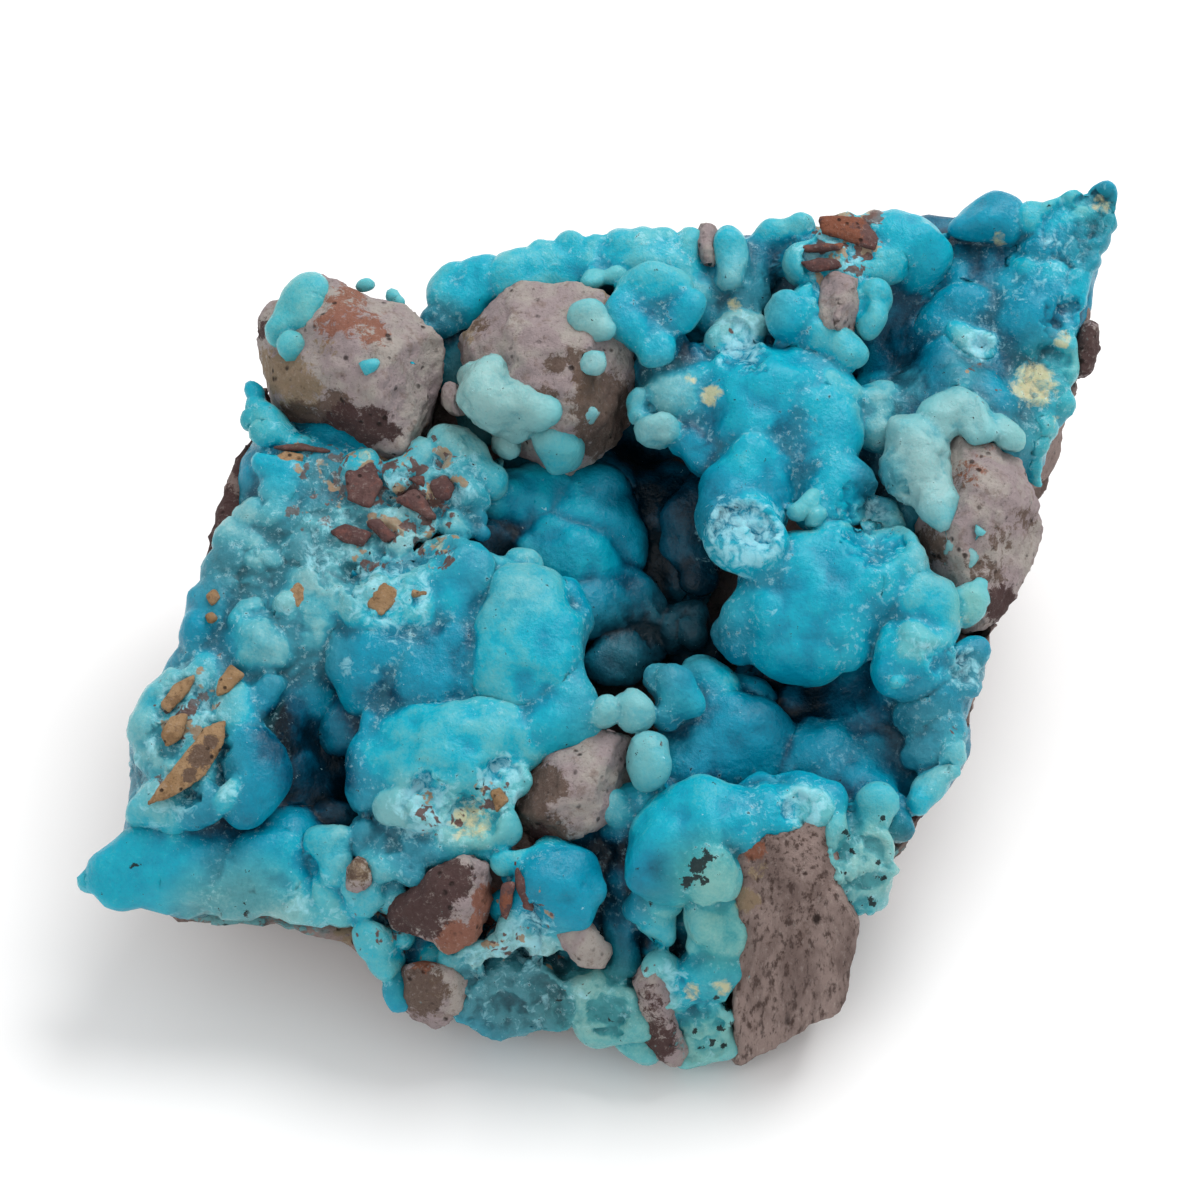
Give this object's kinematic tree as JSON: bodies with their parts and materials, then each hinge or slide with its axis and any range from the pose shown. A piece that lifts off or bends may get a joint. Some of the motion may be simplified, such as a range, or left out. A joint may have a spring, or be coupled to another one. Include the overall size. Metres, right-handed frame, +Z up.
{
  "type": "smithsonite specimen",
  "caption": "Blue-green botryoidal smithsonite crust on brown volcanic breccia, with rock fragments showing through it and a flat underside.",
  "frame": {"origin": "on the flat underside of the host rock, under the middle of the stone's bounding box", "axes": "+Z up from the flat underside, +X along the long side, to the right as the stone is seen from its front; +Y away from the front"},
  "size_m": [0.0887, 0.0686, 0.0436],
  "materials": {
    "smithsonite": "satin, waxy",
    "host_rock": "rough, broken",
    "pink_grey_rock": "rough, pitted",
    "brown_rock": "matt, broken",
    "sand_rock": "matt, earthy"
  },
  "bodies": {
    "root": {"chip_brown_blade": "brown_rock", "chip_brown_corner": "brown_rock", "chip_brown_sliver": "brown_rock", "chip_brown_square": "brown_rock", "chip_brown_wedge": "brown_rock", "chip_left_bar": "brown_rock", "chip_pink_slope": "brown_rock", "chip_red_fang": "brown_rock", "chip_red_tooth": "brown_rock", "chip_ridge_bar": "brown_rock", "chip_ridge_lens": "brown_rock", "chip_ridge_red": "brown_rock", "chip_sand_bead": "sand_rock", "chip_sand_blade": "sand_rock", "chip_sand_diamond": "sand_rock", "chip_sand_dot": "sand_rock", "chip_sand_fin": "sand_rock", "chip_sand_left": "sand_rock", "chip_sand_low": "sand_rock", "chip_sand_ridge": "sand_rock", "chip_sand_splinter": "sand_rock", "chip_sand_tooth": "sand_rock", "chip_sand_top": "sand_rock", "fragment_back_left": "pink_grey_rock", "fragment_back_middle": "pink_grey_rock", "fragment_foot_grey": "pink_grey_rock", "fragment_foot_left": "pink_grey_rock", "fragment_foot_middle": "pink_grey_rock", "fragment_front": "pink_grey_rock", "fragment_front_left": "pink_grey_rock", "fragment_middle": "pink_grey_rock", "fragment_notch": "pink_grey_rock", "fragment_ridge": "pink_grey_rock", "fragment_ridge_hook": "pink_grey_rock", "fragment_right": "pink_grey_rock", "fragment_right_edge": "pink_grey_rock", "fragment_tip_ridge": "pink_grey_rock", "host_rock": "host_rock", "smithsonite_crust": "smithsonite"}
  },
  "joints": []
}
